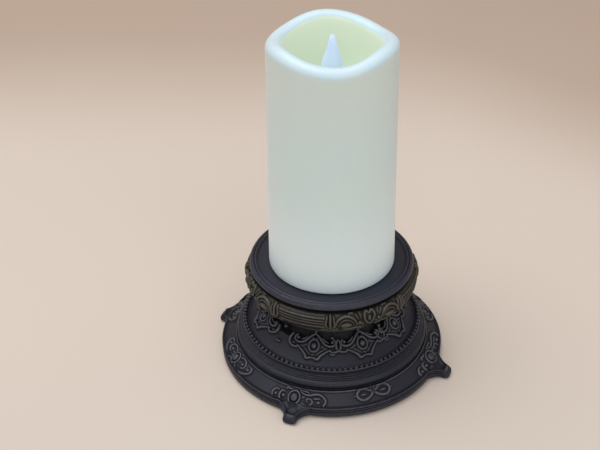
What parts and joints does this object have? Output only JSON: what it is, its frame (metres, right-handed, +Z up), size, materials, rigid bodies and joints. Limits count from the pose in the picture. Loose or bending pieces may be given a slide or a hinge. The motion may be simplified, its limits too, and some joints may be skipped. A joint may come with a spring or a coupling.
{
  "type": "flameless LED pillar candle on pedestal",
  "caption": "Battery-operated LED pillar candle with a wavy lip and moulded flame, standing on an ornate round pedestal with beading, scrolls and feet.",
  "frame": {"origin": "on the standing surface, under the centre of the pedestal", "axes": "+Z up along the candle's axis, -Y towards the switch side (the front), +X to the right seen from the front"},
  "size_m": [0.1435, 0.148, 0.2131],
  "materials": {
    "dark_patina": "cast, black patina with dry-brushed grey edges",
    "bronze_patina": "cast, dark bronze patina",
    "ivory_wax": "smooth ivory wax, satin",
    "frosted_flame": "frosted translucent",
    "ivory_plastic": "moulded, fine texture",
    "zinc_steel": "zinc plated",
    "nickel_contact": "nickel plated",
    "felt": "felt",
    "led_epoxy": "clear warm epoxy",
    "green_board": "solder mask",
    "chip_epoxy": "moulded",
    "crystal_can": "drawn can",
    "resistor_body": "lacquered",
    "cell_sleeve": "printed sleeve, plain",
    "switch_can": "pressed",
    "black_plastic": "moulded",
    "red_insulation": "PVC",
    "black_insulation": "PVC",
    "white_insulation": "PVC"
  },
  "bodies": {
    "pedestal": {"pedestal_base": "dark_patina", "foot_pad_1": "felt", "foot_pad_2": "felt", "foot_pad_3": "felt", "foot_pad_4": "felt", "leaf_collar": "bronze_patina", "candle_plate": "dark_patina", "tie_bolt": "zinc_steel", "tie_washer": "zinc_steel"},
    "candle": {"candle_shell": "ivory_wax", "flame_lens": "frosted_flame", "led": "led_epoxy", "control_board": "green_board", "timer_chip": "chip_epoxy", "crystal": "crystal_can", "resistor": "resistor_body", "board_screw_1": "zinc_steel", "board_screw_2": "zinc_steel", "battery_housing": "ivory_plastic", "base_screw_1": "zinc_steel", "base_screw_2": "zinc_steel", "base_screw_3": "zinc_steel", "cell_a": "cell_sleeve", "cell_b": "cell_sleeve", "positive_contact": "nickel_contact", "negative_contact": "nickel_contact", "contact_spring": "nickel_contact", "switch_body": "switch_can", "red_lead": "red_insulation", "black_lead": "black_insulation", "switch_lead": "white_insulation"},
    "battery_cap": {"battery_cap": "ivory_plastic", "cap_contact": "nickel_contact"},
    "switch_knob": {"switch_knob": "black_plastic"}
  },
  "joints": [
    {"name": "candle_lift", "type": "slide", "parent": "pedestal", "child": "candle", "axis": [0, 0, 1], "range_m": [0, 0.075]},
    {"name": "battery_cap_twist", "type": "hinge", "parent": "candle", "child": "battery_cap", "pos_m": [0, 0.006, 0.07], "axis": [0, 0, 1], "range_deg": [0, 45]},
    {"name": "switch_slide", "type": "slide", "parent": "candle", "child": "switch_knob", "axis": [1, 0, 0], "range_m": [-0.0025, 0.0025]}
  ]
}
